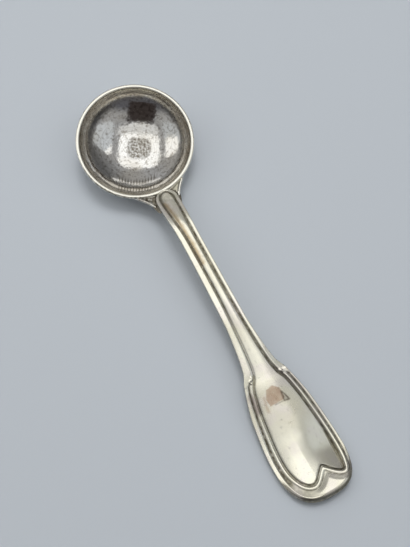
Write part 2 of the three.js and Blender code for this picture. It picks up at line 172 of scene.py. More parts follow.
def smooth_curve(pairs):
    """A curve through [place, value] pairs that makes no bumps between them."""
    places, values = np.array(pairs, float).T
    slopes = np.diff(values) / np.diff(places)
    tangents = np.zeros(len(places))
    for i in range(1, len(places) - 1):
        before, after = slopes[i - 1], slopes[i]
        if before * after > 0:
            tangents[i] = 2 * before * after / (before + after)

    def value(place):
        place = np.clip(place, places[0], places[-1])
        i = np.clip(np.searchsorted(places, place, side="right") - 1, 0, len(places) - 2)
        span = places[i + 1] - places[i]
        t = (place - places[i]) / span
        rise = 3 * t**2 - 2 * t**3
        start = t * (1 - t) ** 2 * span * tangents[i]
        finish = t**2 * (t - 1) * span * tangents[i + 1]
        return values[i] * (1 - rise) + values[i + 1] * rise + start + finish

    return value


def smoothstep(value, low, high):
    """A soft step from 0 at a low value to 1 at a high one."""
    t = np.clip((value - low) / (high - low), 0, 1)
    return t * t * (3 - 2 * t)


def bell(distance, width):
    """1 at no distance, falling softly to nearly 0 at twice the width."""
    return np.exp(-((distance / width) ** 2))


def resample(points, count):
    """Points at even distances along a polyline."""
    steps = np.linalg.norm(np.diff(points, axis=0), axis=1)
    along = np.append(0, np.cumsum(steps))
    wanted = np.linspace(0, along[-1], count)
    return np.transpose([np.interp(wanted, along, column) for column in points.T])


def bezier(points, count):
    """A cubic curve through four control points."""
    t = np.linspace(0, 1, count)[:, None]
    a, b, c, d = (np.array(p, float) for p in points)
    return (1 - t) ** 3 * a + 3 * t * (1 - t) ** 2 * b + 3 * t**2 * (1 - t) * c + t**3 * d


def distance_to(points, line):
    """Least distance from each point to a polyline."""
    line = np.array(line)
    least = np.full(len(points), np.inf)
    for start, finish in zip(line[:-1], line[1:]):
        edge = finish - start
        t = np.clip((points - start) @ edge / max(edge @ edge, 1e-12), 0, 1)
        gap = np.linalg.norm(points - start - t[:, None] * edge, axis=1)
        least = np.minimum(least, gap)
    return least


def inside(points, ring):
    """True for the points that lie inside a closed polyline."""
    x, y = points.T
    found = np.zeros(len(points), bool)
    for (ax, ay), (bx, by) in zip(ring[:-1], ring[1:]):
        crosses = (ay > y) != (by > y)
        slope = (bx - ax) / (by - ay) if by != ay else 0
        found ^= crosses & (x < ax + (y - ay) * slope)
    return found


def roughness_at(points, size, seed):
    """Smooth random heights, about -1 to 1, at points in millimetres."""
    return np.array([noise.noise(Vector(p) / size + Vector((seed, 0, 0))) for p in points])


def grid_faces(rows, columns, first=0, closed=False):
    """Quads over a grid of points. A closed grid's last column meets its first."""
    places = first + np.arange(rows * columns).reshape(rows, columns)
    if closed:
        places = np.c_[places, places[:, 0]]
    near, far = places[:, :-1], places[:, 1:]
    return np.stack([near[:-1], near[1:], far[1:], far[:-1]], axis=-1).reshape(-1, 4)


def band_faces(upper, lower):
    """Quads that join two rings of points."""
    return np.stack([upper, lower, np.roll(lower, -1), np.roll(upper, -1)], axis=1)


def border_of_grid(rows, columns, first=0):
    """Points round a grid's border, once."""
    places = first + np.arange(rows * columns).reshape(rows, columns)
    return np.hstack([places[:-1, 0], places[-1, :-1], places[:0:-1, -1], places[0, :0:-1]])


def add_object(name, data):
    piece = bpy.data.objects.new(name, data)
    bpy.context.scene.collection.objects.link(piece)
    return piece


def add_flat_mesh(name, points, faces):
    """A mesh object with flat faces, from points in millimetres."""
    mesh = bpy.data.meshes.new(name)
    mesh.from_pydata((np.asarray(points) * MM).tolist(), [], faces)
    return add_object(name, mesh)


def add_smooth_mesh(name, points, faces, **attributes):
    """A smooth mesh object, from points in millimetres with their attributes."""
    piece = add_flat_mesh(name, points, faces)
    mesh = piece.data
    mesh.shade_smooth()
    for key, values in attributes.items():
        layer = mesh.attributes.new(key, "FLOAT", "POINT")
        layer.data.foreach_set("value", np.asarray(values, np.float32))
    mesh.validate()
    return piece


# Bowl

INNER_STEPS = 64
LIP_STEPS = 12
WEB_STEPS = 30
OUTER_STEPS = 44


def section(radius, depth, turn):
    """One point of the bowl's section, from the rim at turn 0 to the middle at turn 1."""
    angle = turn * math.pi / 2
    return radius * np.cos(angle), -depth * np.sin(angle)


def tilted(u, w):
    """Leans a place in the bowl's own frame toward the handle: along it and up."""
    cosine, sine = math.cos(BOWL_TILT), math.sin(BOWL_TILT)
    return u * cosine + w * sine, w * cosine - u * sine


def rim_place():
    """Middle of the rim: the bowl's lowest point touches the table at the origin, a little worn."""
    x, z = tilted(*section(BOWL_RADIUS, BOWL_DEPTH, np.linspace(0, 1, 2001)))
    lowest = np.argmin(z)
    return -x[lowest], -z[lowest] - BOWL_WEAR


RIM_X, RIM_Z = rim_place()
LIP_X = RIM_X + BOWL_RADIUS * math.cos(BOWL_TILT)


def from_rim(u, v, w):
    """From the rim's own tilted frame to the ladle's."""
    x, z = tilted(u, w)
    return np.stack(np.broadcast_arrays(RIM_X + x, v, RIM_Z + z), axis=-1)


def lug_outline():
    """Plan of the right half of the lug's edge, from the rim to the tongue's tip."""
    angle = FLARE_ANGLE
    start = from_rim(BOWL_RADIUS * math.cos(angle), BOWL_RADIUS * math.sin(angle), 0)[:2]
    tangent = np.array([math.sin(angle), -math.cos(angle)])
    control = start + FLARE_REACH * tangent
    finish = np.array([LIP_X + FLARE_LENGTH, STEM_HALF])
    t = np.linspace(0, 1, 60)[:, None]
    flare = (1 - t) ** 2 * start + 2 * t * (1 - t) * control + t**2 * finish
    turn = np.linspace(0, math.pi / 2, 30)[1:]
    tongue_end = LAP_END_X - 0.25
    tongue_fullness = 0.7
    tongue_x = finish[0] + (tongue_end - finish[0]) * np.sin(turn)
    tongue_y = STEM_HALF * np.cos(turn) ** tongue_fullness
    return np.vstack([flare, np.c_[tongue_x, tongue_y]])


def lug_reach(angles):
    """How far the lug's edge lies from the middle of the rim, in plan, for each angle."""
    edge = lug_outline() - [RIM_X, 0]
    edge_angles = np.arctan2(edge[:, 1], edge[:, 0])
    order = np.argsort(edge_angles)
    return np.interp(np.abs(angles), edge_angles[order], np.linalg.norm(edge, axis=1)[order], right=0)


def bowl_angles():
    """Angles round the rim, closer together where the lug is."""
    lug_half = 1.15 * FLARE_ANGLE
    near = np.linspace(-lug_half, lug_half, 241)
    far = np.linspace(lug_half, 2 * math.pi - lug_half, 181)[1:-1]
    return np.concatenate([near, far])


def bowl_points():
    """Rings of points: up the inside, over the lip, out and back along the lug, down the outside."""
    angles = bowl_angles()
    cosine, sine = np.cos(angles), np.sin(angles)
    rings, webs, lips = [], [], []

    def add_ring(radius, height, lip=0.0):
        rings.append(from_rim(radius * cosine, radius * sine, height))
        webs.append(np.zeros(len(angles)))
        lips.append(np.full(len(angles), lip))

    for turn in np.linspace(1, 0, INNER_STEPS + 1)[1:]:
        r, w = section(BOWL_RADIUS - BOWL_WALL, BOWL_DEPTH - BOWL_WALL, turn)
        if w < -LIP_HEIGHT:
            add_ring(r, w)
    lip_middle = BOWL_RADIUS - LIP_WIDTH / 2
    for angle in np.linspace(math.pi, 0, LIP_STEPS + 1):
        r = lip_middle + LIP_WIDTH / 2 * math.cos(angle)
        add_ring(r, LIP_HEIGHT / 2 * (abs(math.sin(angle)) ** LIP_FLATNESS - 1), 1)

    lip_edge = rings[-1].copy()
    reach = lug_reach(angles)
    on_web = smoothstep(reach, BOWL_RADIUS, BOWL_RADIUS + 0.6)
    for step in range(1, WEB_STEPS + 1):
        share = step / WEB_STEPS
        r, w = section(BOWL_RADIUS, BOWL_DEPTH, LUG_ROOT_TURN * share)
        wall = from_rim(r * cosine, r * sine, w - LIP_HEIGHT / 2 * (1 - share))
        rings.append(web_ring(wall, lip_edge, reach, share))
        at_edge = smoothstep(share, 0.32, 0.44) * (1 - smoothstep(share, 0.55, 0.7))
        webs.append(on_web * (1 - at_edge))
        lips.append(np.full(len(angles), 1 - smoothstep(share, 0, 0.3)))
    for turn in np.linspace(LUG_ROOT_TURN, 1, OUTER_STEPS + 1)[1:-1]:
        add_ring(*section(BOWL_RADIUS, BOWL_DEPTH, turn))
    return np.array(rings), np.array(webs), np.array(lips)


def web_ring(wall, lip_edge, reach, share):
    """One ring of the lug's skin: out over its top, round its edge and back under it."""
    lip_reach = np.hypot(lip_edge[:, 0] - RIM_X, lip_edge[:, 1])
    wall_reach = np.hypot(wall[:, 0] - RIM_X, wall[:, 1])
    length = np.maximum(reach - lip_reach, 0)
    edge_from, edge_to = 0.5, 0.66
    plan_angle = np.arctan2(lip_edge[:, 1], lip_edge[:, 0] - RIM_X)
    beside_nose = smoothstep(np.abs(plan_angle), 0.14, 0.24)
    radius = LUG_EDGE / 2
    if share <= edge_from:
        t = share / edge_from
        out = lip_reach + (length - radius) * t
        from_edge = (length - radius) * (1 - t)
        top = LUG_TOP + LUG_RIDGE * bell(from_edge, LUG_RIDGE_WIDTH) * beside_nose
        dip = smoothstep(t, 0, 0.25)
        height = lip_edge[:, 2] * (1 - dip) + top * dip
    elif share < edge_to:
        turn = (share - edge_from) / (edge_to - edge_from) * math.pi
        out = lip_reach + length - radius + radius * math.sin(turn)
        ridge = LUG_RIDGE * beside_nose * (1 + math.cos(turn)) / 2
        height = LUG_TOP + ridge - radius * (1 - math.cos(turn))
    else:
        t = (share - edge_to) / (1 - edge_to)
        out = (lip_reach + length - radius) * (1 - t) + wall_reach * t
        heel_rise = 1.3
        heel = HEEL_DEPTH * t**heel_rise * bell(out * np.sin(plan_angle), HEEL_WIDTH)
        height = (LUG_TOP - LUG_EDGE) * (1 - t) + wall[:, 2] * t - heel * (1 - t)
    place = np.c_[RIM_X + out * np.cos(plan_angle), out * np.sin(plan_angle), height]
    there = smoothstep(length, 0.02, 0.5)[:, None]
    return wall * (1 - there) + place * there


# Marks of the bowl. A way is a direction in plan, and a distance out from the axis is in radii.
LIGHTER_WAY = (0.9, -0.45)
WALL_DARK_OUT = (0.76, 0.9)
STEEP_OUT = (0.8, 0.88)
SPOT_MIDDLE = np.array([-3.7, 1.0])
SPOT_HALF = (2.85, 2.6)
# Painted reflection: where the row of lamps is mirrored in the bowl, dark gaps are painted between its
# dots.
LAMP_DOT_PITCH = 0.64
LAMP_DOT_OUT = (0.615, 0.775)
LAMP_DOT_WIDTH = 0.05
ROUGH_LIP_WAY = (0.6, -0.8)
ROUGH_LIP_OUT = (0.965, 0.995)
# For each painted highlight arc: the way to its middle, how far round and out it fades in, and its
# strength.
PAINTED_HIGHLIGHT_ARCS = [
    ((0.425, -0.905), (0.72, 0.97), (0.85, 0.9), 1),
    ((0.97, 0.25), (0.78, 0.96), (0.8, 0.86), 0.8),
    (STUDIO_BACK[:2], (0.86, 0.99), (0.9, 0.94), 0.8),
]


def wall_tarnish_and_shade(points, ways, radii):
    """Tarnish and painted shade up the bowl's wall, strongest away from the handle and from the left.
    """
    uneven = 0.5 * roughness_at(points, 2.5, 11.0) + 0.45 * roughness_at(points, 0.6, 17.0)
    lighter = 0.55 * smoothstep(ways[:, :2] @ LIGHTER_WAY, 0.1, 0.95)
    lighter += 0.45 * smoothstep(ways @ -STUDIO_RIGHT, 0.4, 0.9)
    return np.clip(0.65 - lighter + uneven, 0, 1) * smoothstep(radii, *WALL_DARK_OUT)


def painted_highlight_arcs(ways, radii):
    """Painted highlight arcs inside the lip, at the front, toward the handle and at the back."""
    return np.maximum.reduce([
        strength * smoothstep(ways[:, :2] @ way, *turned) * smoothstep(radii, *outward)
        for way, turned, outward, strength in PAINTED_HIGHLIGHT_ARCS
    ])


def dull_spot_shade(points):
    """A dull, rougher spot in the middle of the bowl's inside, set square to the camera; its darkened
    grain is painted shade.
    """
    place = points[:, :2] - SPOT_MIDDLE
    right = place @ STUDIO_RIGHT[:2] / SPOT_HALF[0]
    back = place @ STUDIO_BACK[:2] / SPOT_HALF[1]
    reach = (np.abs(right) ** 3 + np.abs(back) ** 3) ** (1 / 3) + 0.1 * roughness_at(points, 0.35, 5.0)
    return (1 - smoothstep(reach, 0.82, 1.08)) * (points[:, 2] > BOWL_WALL / 2)


def painted_lamp_dot_rows(out, radii):
    """Two rows of painted dark gaps across the bowl's wall, toward the front, which break the mirrored
    row of lamps into dots.
    """
    right, back = out @ STUDIO_RIGHT, out @ STUDIO_BACK
    ends = (1 - smoothstep(np.abs(right - 0.6), 3.6, 4.9)) * (back < 0)
    return sum(bell(radii - row, LAMP_DOT_WIDTH) for row in LAMP_DOT_OUT) * ends


def pitted_lip_and_shade(points, ways, radii):
    """Worn and pitted patches along the lip's outside, at the front, darkened broadly as painted shade
    under the lip.
    """
    front = smoothstep(ways[:, :2] @ ROUGH_LIP_WAY, 0.7, 0.95) * smoothstep(radii, *ROUGH_LIP_OUT)
    return np.clip(front * (0.55 + 1.2 * roughness_at(points, 0.5, 23.0)), 0, 1)


def bowl_marks(points, web, lip, inside_bowl):
    """How strongly each mark of the bowl's silver shows at each point."""
    axis = np.array([math.sin(BOWL_TILT), 0, math.cos(BOWL_TILT)])
    out = points - [RIM_X, 0, RIM_Z]
    out -= (out @ axis)[:, None] * axis
    reach = np.linalg.norm(out, axis=1)
    ways = out / np.maximum(reach, 0.1)[:, None]
    radii = reach / BOWL_RADIUS
    left = points[:, 1] < 0
    return {
        "web": np.maximum(web, pitted_lip_and_shade(points, ways, radii)) * left,
        "smooth_web": web * ~left,
        "lip": lip,
        "wall": wall_tarnish_and_shade(points, ways, radii),
        "painted_highlight": painted_highlight_arcs(ways, radii),
        "spot": dull_spot_shade(points),
        "painted_lamp_dots": painted_lamp_dot_rows(out, radii),
        "reach": reach,
        "steep": inside_bowl * smoothstep(radii, *STEEP_OUT),
    }


def make_bowl():
    rings, webs, lips = bowl_points()
    ring_count, column_count = rings.shape[:2]
    points = rings.reshape(-1, 3)
    web = webs.reshape(-1)
    near_web = np.flatnonzero(web > 0.01)
    left_lumps, right_lumps = 0.07, 0.012
    lump_height = np.where(points[near_web, 1] < 0, left_lumps, right_lumps)
    lumps = roughness_at(points[near_web], 0.55, 3.0) * lump_height
    points[near_web, 2] += lumps * web[near_web]
    points[:, 2] = np.maximum(points[:, 2], 0)
    inner_middle, outer_middle = len(points), len(points) + 1
    faces = grid_faces(ring_count, column_count, closed=True).tolist()
    last_ring = (ring_count - 1) * column_count
    for k in range(column_count):
        after = (k + 1) % column_count
        faces.append((inner_middle, k, after))
        faces.append((outer_middle, last_ring + after, last_ring + k))
    middles = [from_rim(0, 0, -depth) for depth in (BOWL_DEPTH - BOWL_WALL, BOWL_DEPTH)]
    points = np.vstack([points, middles])
    lip, web = np.append(lips, [0, 0]), np.append(web, [0, 0])
    inside_bowl = np.arange(len(points)) < INNER_STEPS * column_count
    return add_smooth_mesh("bowl_silver", points, faces, **bowl_marks(points, web, lip, inside_bowl))


# Handle

ROWS = 676
COLUMNS = 151
BACK_STEP = 3
# Down the handle's side: how far in, in roundings, and how high between back and face.
SIDE_LEVELS = [
    (0, 0.93), (0, 0.78), (0, 0.6), (0.06, 0.4), (0.2, 0.24), (0.45, 0.11), (0.75, 0.03),
]

outline_half = smooth_curve([
    [NOSE_CORNER_X, NOSE_HALF], [WAIST_X, STEM_HALF], [SWELL_X, 2.36], [FLARE_START_X, 2.68],
    [FLARE_END_X, 3.66], [CORNER_X, SHOULDER_HALF - 0.2], [FIDDLE_MIDDLE_X, FIDDLE_MIDDLE_HALF],
    [WIDEST_X, FIDDLE_HALF],
])
panel_left = smooth_curve([
    [NOSE_CORNER_X, NOSE_RIB_HALF], [WAIST_X, 0.68], [STEM_MIDDLE_X - 4, 0.6],
    [FLARE_START_X, 0.98], [FLARE_END_X, 1.5], [SHOULDER_X + 0.7, 2.05], [FOOT_X, 3.1],
    [FOOT_X + 1.6, 3.55], [FIDDLE_MIDDLE_X, 4.42],
    [WIDEST_X, FIDDLE_HALF - PANEL_GAP - PANEL_SHIFT],
])
panel_right = smooth_curve([
    [NOSE_CORNER_X, NOSE_RIB_HALF], [WAIST_X, 1.14], [STEM_MIDDLE_X - 4, 1.2],
    [FLARE_START_X, 1.58], [FLARE_END_X, 2.15], [CORNER_X, 2.72], [FOOT_X + 0.6, 3.65],
    [FOOT_X + 2.6, 4.18], [FIDDLE_MIDDLE_X, 4.97],
    [WIDEST_X, FIDDLE_HALF - PANEL_GAP + PANEL_SHIFT],
])
groove_room = smooth_curve([[SHOULDER_X + 0.4, GROOVE_WIDTH], [SHOULDER_X + 1.7, SPLIT_WIDTH]])
face_height = smooth_curve([
    [NOSE_X, NOSE_BOTTOM + 0.55], [NOSE_X + 3.5, NOSE_BOTTOM + 1.3], [NECK_X, LAP_Z + 2.6],
    [SLIM_X, LAP_Z + 1.28], [CREST_X, FIDDLE_THICKNESS + 2.98], [FOOT_X, FIDDLE_THICKNESS + 1.95],
    [SHOULDER_X + 8, FIDDLE_THICKNESS + 1.03], [SHOULDER_X + 15, FIDDLE_THICKNESS + 0.2],
    [END_X - 10, 1.66], [END_X - 5, 1.98], [END_X, END_THICKNESS],
])
back_height = smooth_curve([
    [LAP_END_X, NOSE_BOTTOM], [NECK_X, LAP_Z + 0.5], [SLIM_X, LAP_Z - 0.75],
    [CREST_X, FIDDLE_THICKNESS + 1.1], [FOOT_X, 1.6], [SHOULDER_X + 10.5, 0],
])
side_share = smooth_curve([[LAP_END_X - 1, 0.12], [NECK_X, 1]])
end_share = smooth_curve([[HEART_X + LOBE_DEPTH / 2, 0], [END_X - 3 * END_ROLL, 1]])


def end_half(x):
    """Half the handle's width, round its end too."""
    share = np.clip((x - WIDEST_X) / END_ROUND, 0, 1)
    return outline_half(x) * (1 - share**END_FULLNESS) ** (1 / END_FULLNESS)


def nose_arc(turns, half=NOSE_HALF, start_x=NOSE_X):
    """Points round the nose, with its tip at turn 0 and a corner a quarter turn to each side."""
    return np.c_[NOSE_CORNER_X - (NOSE_CORNER_X - start_x) * np.cos(turns), half * np.sin(turns)]


def end_arc(turns):
    """Points round the right half of the handle's end, from its widest place at turn 0."""
    power = 2 / END_FULLNESS
    x = WIDEST_X + END_ROUND * np.sin(turns) ** power
    return np.c_[x, outline_half(x) * np.cos(turns) ** power]


def outline_sides():
    """The outline as four stretches: left side, end, right side and nose."""
    corner_turn = 0.62
    half_end = end_arc(np.linspace(corner_turn, math.pi / 2, 200))
    end = np.vstack([half_end * [1, -1], half_end[::-1][1:]])
    nose = nose_arc(np.linspace(-math.pi / 4, math.pi / 4, 200))
    nose_side = nose_arc(np.linspace(math.pi / 4, math.pi / 2, 60))
    x = np.linspace(NOSE_CORNER_X, WIDEST_X, 600)[1:]
    straight = np.c_[x, outline_half(x)]
    curved = end_arc(np.linspace(0, corner_turn, 120)[1:])
    right = np.vstack([nose_side, straight, curved])
    return right * [1, -1], end, right, nose


def plan_grid():
    """A grid over the whole outline, whose sides follow the outline's four stretches."""
    left, end, right, nose = outline_sides()
    left, right = resample(left, ROWS), resample(right, ROWS)
    nose, end = resample(nose, COLUMNS), resample(end, COLUMNS)
    p = np.linspace(0, 1, ROWS)[:, None, None]
    q = np.linspace(0, 1, COLUMNS)[None, :, None]
    sides = (1 - q) * left[:, None] + q * right[:, None]
    ends = (1 - p) * nose[None] + p * end[None]
    corners = (1 - p) * (1 - q) * nose[0] + (1 - p) * q * nose[-1]
    corners += p * (1 - q) * end[0] + p * q * end[-1]
    return sides + ends - corners


def heart_edge():
    """The end of the panel: two round lobes with a cusp between them that points at the bowl."""
    panel_half = panel_right(HEART_X) - PANEL_SHIFT
    lobe_x = HEART_X + LOBE_DEPTH
    cusp = np.array([lobe_x - CUSP_DEPTH, HEART_SHIFT])
    halves = []
    for side in (-1, 1):
        corner = np.array([HEART_X, PANEL_SHIFT + side * panel_half])
        lobe = np.array([lobe_x, HEART_SHIFT + side * LOBE_SPACING / 2])
        corner_pull = [HEART_X + 0.55 * LOBE_DEPTH, corner[1]]
        outer_pull = [lobe_x, 0.45 * lobe[1] + 0.55 * corner[1]]
        inner_pull = [lobe_x, lobe[1] - side * 0.15 * LOBE_SPACING]
        cusp_pull = [cusp[0] + 0.35 * CUSP_DEPTH, cusp[1] + side * 0.18 * LOBE_SPACING]
        outer = bezier([corner, corner_pull, outer_pull, lobe], 40)
        inner = bezier([lobe, inner_pull, cusp_pull, cusp], 40)
        halves.append(np.vstack([outer, inner[1:]]))
    return np.vstack([halves[0], halves[1][::-1][1:]])


def panel_ring():
    """The edge of the rib and panel, once round."""
    nose = nose_arc(np.linspace(-math.pi / 2, math.pi / 2, 40), NOSE_RIB_HALF, NOSE_X + RIB_SETBACK)
    x = np.linspace(NOSE_CORNER_X, HEART_X, 220)[1:-1]
    left, right = np.c_[x, -panel_left(x)], np.c_[x, panel_right(x)]
    return np.vstack([left, heart_edge(), right[::-1], nose[::-1], left[:1]])


# How the panel's face falls away, from its left edge at 0 to its right edge at 1.
PANEL_SLOPES = [
    [0, 0.34], [0.08, 0.19], [0.2, 0.06], [0.54, 0], [0.64, -0.07], [0.74, -0.11], [1, -0.14],
]


def panel_profile(t):
    """Height of the panel's face across it, for a panel 1 mm wide."""
    places = np.linspace(0, 1, 101)
    slopes = np.interp(places, *np.transpose(PANEL_SLOPES))
    heights = np.append(0, np.cumsum((slopes[1:] + slopes[:-1]) / 2 * np.diff(places)))
    return np.interp(t, places, heights)


def ridge(t, power):
    """A rounded ridge over t from 0 to 1, flatter on top for a higher power."""
    return np.clip(1 - np.abs(2 * t - 1) ** power, 0, None)


class Pattern:
    """The struck pattern of the handle's face, at each of many points."""

    def __init__(self, points):
        self.x, self.y = points.T
        left, end, right, nose = outline_sides()
        outline = np.vstack([left, end[1:], right[::-1][1:], nose[::-1][1:]])
        panel = panel_ring()
        self.to_outline = distance_to(points, outline)
        self.to_panel = distance_to(points, panel)
        self.on_panel = inside(points, panel)
        split_x = np.where(self.y > 0, SPLIT_RIGHT_X, SPLIT_LEFT_X)
        self.split = smoothstep(self.x, split_x - 0.25, split_x + 0.35)
        self.end = end_share(self.x) * smoothstep(self.y, -3.6, -0.6)
        self.thread = self.thread_width()

    def thread_width(self):
        """Width of the outer thread, with room left for the groove or a second thread."""
        x, y = self.x, self.y
        narrow = 1 - 0.4 * (y < 0) * (1 - self.split)
        delay = np.where(y > 0, SPLIT_RIGHT_X - SPLIT_LEFT_X, 0)
        width = self.to_outline + self.to_panel - narrow * groove_room(x - delay)
        most = np.where(x > SHOULDER_X + 2, THREAD_MOST, np.inf)
        return np.minimum(np.maximum(width, THREAD_LEAST), most)

    def panel_height(self):
        """Height of the rib on the stem and of the panel that it widens into."""
        x = self.x
        width = panel_left(x) + panel_right(x)
        t = np.clip((self.y + panel_left(x)) / width, 0, 1)
        near_nose = smoothstep(x, NOSE_X + RIB_SETBACK, NOSE_X + 3.2)
        flatter = 1 - 0.5 * smoothstep(x, STEM_MIDDLE_X, FLARE_START_X)
        rib = RIB_HEIGHT * ridge(t**RIB_LEAN, 2) * near_nose * flatter
        twisted = smoothstep(x, FIDDLE_MIDDLE_X + 2, HEART_X + 1.5)
        twist = PANEL_TWIST * twisted * np.clip(t - TWIST_START, 0, None) * width
        panel = panel_profile(t) * width - twist
        is_panel = smoothstep(x, SHOULDER_X - 5, FOOT_X + 2)
        edge = PANEL_EDGE_HEIGHT * smoothstep(self.to_panel, -0.06, 0.3)
        return rib * (1 - is_panel) + panel * is_panel + edge

    def outer_thread(self):
        """Height of the thread along the outline, bevelled at the right of the shoulder."""
        x = self.x
        t = np.clip(self.to_outline / self.thread, 0, 1)
        on_stem = 1 - smoothstep(x, SHOULDER_X - 1, FOOT_X)
        height = THREAD_HEIGHT * np.clip(self.thread / 0.9, 0.3, 1) * (0.6 + 0.4 * on_stem)
        edge_t = 0.14
        height = height * ridge(edge_t + (1 - edge_t) * t, 5) * (1 - self.end)
        at_shoulder = bell(x - SHOULDER_X + 0.8, 3.2) * (self.y > 0) * (1 - self.split)
        return height - SHOULDER_BEVEL * at_shoulder * (1 - smoothstep(t, 0, 0.75))

    def border_height(self):
        """Height of the threads, the step beside the panel, the end's boss and its rolled edge."""
        inner_t = np.clip((self.to_panel - INNER_THREAD_START) / INNER_THREAD_WIDTH, 0, 1)
        inner = INNER_THREAD_HEIGHT * ridge(inner_t, 4) * self.split
        step = STEP_DEPTH * self.split * (1 - smoothstep(self.to_panel, 0, 0.32))
        boss = BOSS_HEIGHT * smoothstep(self.to_panel, 1.0, 2.3) * self.end
        roll = END_DROP * np.clip(1 - self.to_outline / END_ROLL, 0, 1) ** 2
        roll *= smoothstep(self.x, END_X - 8, END_X - 3)
        return self.outer_thread() + inner - step + boss - roll

    def height(self):
        away = np.hypot(self.x - SPLIT_BEAD[0], self.y - SPLIT_BEAD[1])
        bead = SPLIT_BEAD_HEIGHT * bell(away - SPLIT_BEAD_RADIUS, SPLIT_BEAD_WIDTH)
        return np.where(self.on_panel, self.panel_height(), self.border_height()) + bead

    def groove(self):
        """How dark each point is: tarnish in the hollows, and painted shade on the rolled front of the
        end and beside the panel's right edge.
        """
        x, to_panel, split = self.x, self.to_panel, self.split
        left = smoothstep(-self.y, -0.5, 0.5)
        toward_end = end_share(x)
        past_thread = smoothstep(self.to_outline - self.thread, -0.1, 0.04)
        before_thread = smoothstep(to_panel, INNER_THREAD_END - 0.08, INNER_THREAD_END + 0.08)
        between = past_thread * (1 - split * (1 - before_thread)) * ~self.on_panel
        between *= (1 - self.end) * (1 - 0.45 * toward_end)
        # Painted shade widens the dark line beside the panel on its right and round the end.
        edge_width = 0.13 + 0.15 * np.maximum(1 - left, self.end) * split
        beside_heart = bell(to_panel - INNER_THREAD_END - 0.12, 0.17) * toward_end * ~self.on_panel
        # Painted shade on the rolled front of the end.
        shade_under_end = smoothstep(x, END_X - 3.4, END_X - 1.4)
        shade_under_end *= 1 - smoothstep(self.to_outline, 0.3, 0.8)
        bronze = 0.7 * bell(to_panel, 0.45) * left * (1 - smoothstep(x, NOSE_X + 3, NOSE_X + 12))
        beside_panel = bell(to_panel, edge_width)
        groove = np.maximum.reduce([between, beside_panel, beside_heart, 0.8 * shade_under_end, bronze])
        at_flare = smoothstep(x, STEM_MIDDLE_X, FLARE_START_X)
        at_flare *= 1 - smoothstep(x, FLARE_END_X, SHOULDER_X + 1.5)
        return groove * (1 - 0.65 * at_flare * left)


def worn(height, times):
    """Softens a grid of heights as wear does, leaving its border in place."""
    for _ in range(times):
        middle = height[1:-1, 1:-1]
        around = height[:-2, 1:-1] + height[2:, 1:-1] + height[1:-1, :-2] + height[1:-1, 2:]
        height[1:-1, 1:-1] = 0.5 * middle + 0.125 * around
    return height


# Stains of the handle's face, by points in plan: two closed edges, the others middle lines.
STAIN = [
    [58.67, -1.17], [58.28, 0.33], [59.33, 1.63], [60.44, 1.71], [61.63, 1.74], [62.12, 1.12],
    [62.13, -0.41], [62.18, -2.08], [60.26, -2.18], [58.67, -1.17],
]
STAIN_STREAK = [[59.95, -2.23], [61.42, -2.58], [62.74, -2.73]]
CRACK = [[60.33, 1.54], [61.12, 1.92], [62.37, 2.27], [62.26, 1.27], [61.52, 1.34], [60.33, 1.54]]
CRACK_TAIL = [[62.28, 1.39], [62.19, 0.26], [62.2, -0.92]]
PURPLE_TARNISH = [[58.67, -4.56], [60.15, -4.5], [61.88, -4.7]]
GOLDEN_STREAK = [[13.6, -1.05], [15.55, -0.75], [19.01, -0.5], [24.0, -0.25], [29.5, -0.3]]


def handle_marks(points):
    """How strongly each stain of the handle's face shows at each point."""
    wander = roughness_at(np.c_[points, np.zeros(len(points))], 0.9, 2.0)

    def line(route, width, uneven):
        return bell(distance_to(points, route), width + uneven * wander)

    edge = distance_to(points, STAIN) + 0.12 * wander
    stain = np.where(inside(points, STAIN), smoothstep(edge, -0.05, 0.3), 0)
    crack = np.maximum(line(CRACK, 0.2, 0.06), 0.5 * inside(points, CRACK))
    return {
        "stain": np.maximum(stain, 0.55 * line(STAIN_STREAK, 0.35, 0.1)),
        "crack": np.maximum(crack, 0.6 * line(CRACK_TAIL, 0.12, 0.06)),
        "purple": line(PURPLE_TARNISH, 0.8, 0.3),
        "golden": line(GOLDEN_STREAK, 0.5, 0.22),
    }


def ring_normals(ring):
    along = np.roll(ring, -1, axis=0) - np.roll(ring, 1, axis=0)
    along /= np.linalg.norm(along, axis=1)[:, None]
    return np.c_[along[:, 1], -along[:, 0]]


def skewed(plan):
    """The handle's end isn't quite even: it leans to one side, and one corner is rounder."""
    share = smoothstep(plan[:, 0], WIDEST_X - 4, END_X)
    side = np.clip(-plan[:, 1] / FIDDLE_HALF, 0, 1)
    corner_cut, lean = 0.35, 0.3
    return plan + np.c_[-corner_cut * share * side**2, lean * share]


def side_rings(ring, face_rise):
    """Rings of points down the handle's side, from its face to its back."""
    x = ring[:, 0]
    bottom = back_height(x)
    thickness = face_height(x) - bottom
    inward = -ring_normals(ring) * (SIDE_ROUNDING * side_share(x))[:, None]
    rings = []
    for inset, level in SIDE_LEVELS:
        z = bottom + level * thickness + face_rise * level**6
        rings.append(np.c_[ring + inward * inset, z])
    return rings


def back_grid(plan):
    """The handle's back: every third point of the plan, drawn in by the rounding of its sides."""
    plan = plan[::BACK_STEP, ::BACK_STEP].copy()
    x = plan[..., 0]
    rounding = SIDE_ROUNDING * side_share(x)
    plan[..., 1] *= np.clip(1 - rounding / np.maximum(end_half(x), 1.5), 0.5, 1)
    return np.dstack([plan, back_height(x)])


